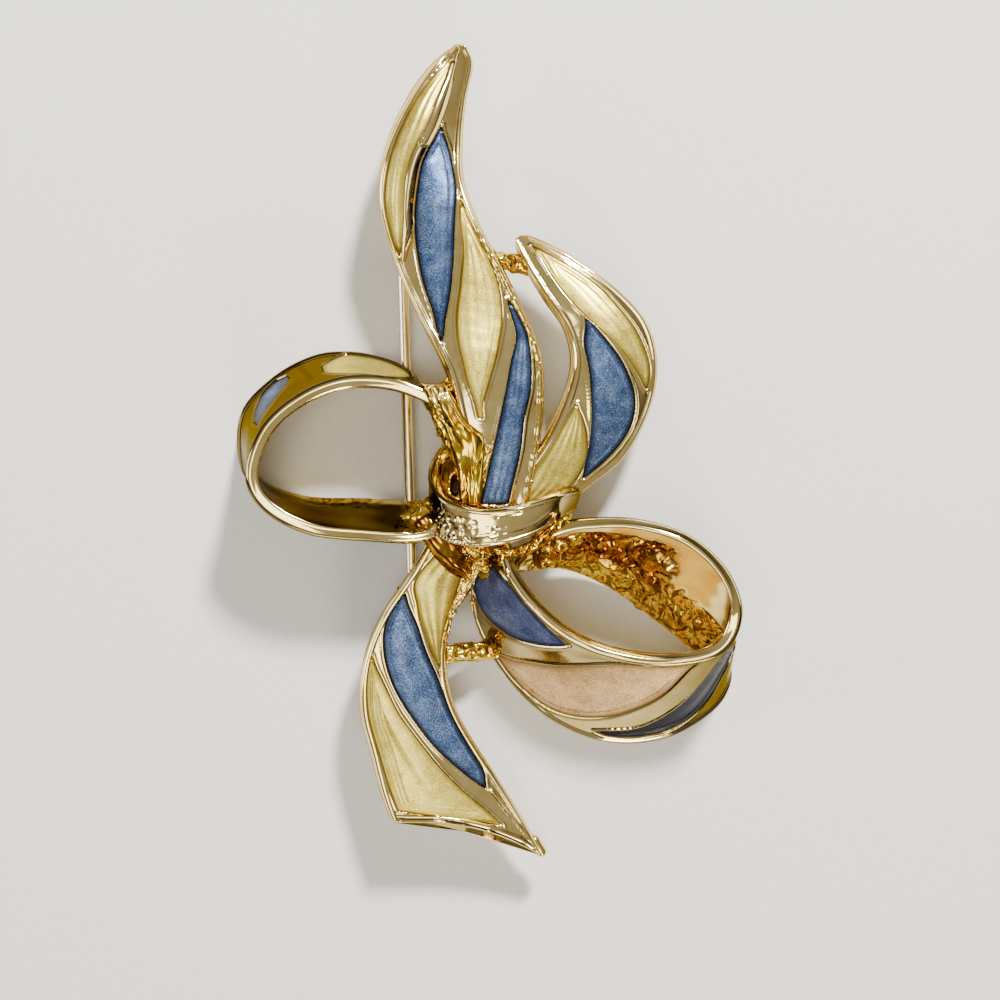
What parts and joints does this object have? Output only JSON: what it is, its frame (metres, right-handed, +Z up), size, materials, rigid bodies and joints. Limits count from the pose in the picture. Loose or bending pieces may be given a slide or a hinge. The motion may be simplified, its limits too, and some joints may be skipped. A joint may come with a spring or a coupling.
{
  "type": "brooch",
  "caption": "Tied ribbon bow brooch in gilt cast metal with slate-blue and cream enamel cells, two standing loops, pointed tails and a hinged pin behind.",
  "frame": {"origin": "middle of the brooch's footprint, on the floor it lies on", "axes": "+Z up out of the front face, +Y up the bow towards the tip of the long tail, +X to the wearer's left across the bow"},
  "size_m": [0.0462, 0.0742, 0.0114],
  "materials": {
    "gilt_metal": "polished gold plate",
    "blue_enamel": "pearlescent slate-blue enamel",
    "cream_enamel": "translucent cream enamel over gilt",
    "blush_enamel": "translucent warm cream enamel over gilt",
    "pin_steel": "pale gilt steel wire"
  },
  "bodies": {
    "bow": {"bow_casting": "gilt_metal", "enamel_fold_cream": "cream_enamel", "enamel_upper_blue": "blue_enamel", "enamel_upper_cream": "cream_enamel", "enamel_upper_blue_low": "blue_enamel", "enamel_right_cream": "cream_enamel", "enamel_right_blue": "blue_enamel", "enamel_right_cream_foot": "cream_enamel", "enamel_left_cream": "cream_enamel", "enamel_left_blue": "blue_enamel", "enamel_loop_blue": "blue_enamel", "enamel_loop_blush": "blush_enamel", "enamel_loop_blue_end": "blue_enamel", "enamel_lower_cream": "cream_enamel", "enamel_lower_blue": "blue_enamel", "enamel_lower_cream_end": "cream_enamel", "hinge_rivet": "pin_steel"},
    "pin": {"pin_stem": "pin_steel"}
  },
  "joints": [
    {"name": "pin_hinge", "type": "hinge", "parent": "bow", "child": "pin", "pos_m": [-0.00767, 0.02018, 0.0015], "axis": [0.9996, 0.0293, 0], "range_deg": [0, 100]}
  ]
}
